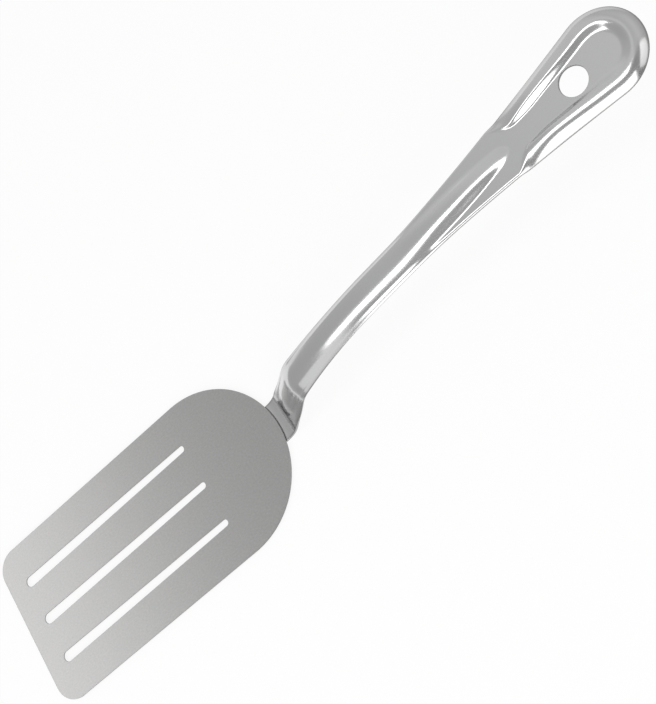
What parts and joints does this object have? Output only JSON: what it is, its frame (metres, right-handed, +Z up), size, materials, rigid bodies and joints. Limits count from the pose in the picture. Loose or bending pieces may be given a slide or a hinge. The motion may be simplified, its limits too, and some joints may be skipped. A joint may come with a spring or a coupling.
{
  "type": "flexible turner",
  "caption": "Kitchen turner: thin flexible slotted steel blade with a round rear end, spot-welded to a raised pressed-steel handle with a rimmed, pierced grip end.",
  "frame": {"origin": "centre of the blade's round rear end, on the flat top face of the blade", "axes": "+X along the turner from the blade to the handle's end, +Y across the blade, +Z up from the blade's top face, the side that the handle rises to"},
  "size_m": [0.3558, 0.0762, 0.061],
  "materials": {
    "blade_steel": "satin",
    "handle_steel": "polished",
    "weld_steel": "matt"
  },
  "bodies": {
    "root": {"blade": "blade_steel", "handle": "handle_steel", "spot_weld_left_1": "weld_steel", "spot_weld_right_1": "weld_steel", "spot_weld_left_2": "weld_steel", "spot_weld_right_2": "weld_steel"}
  },
  "joints": []
}
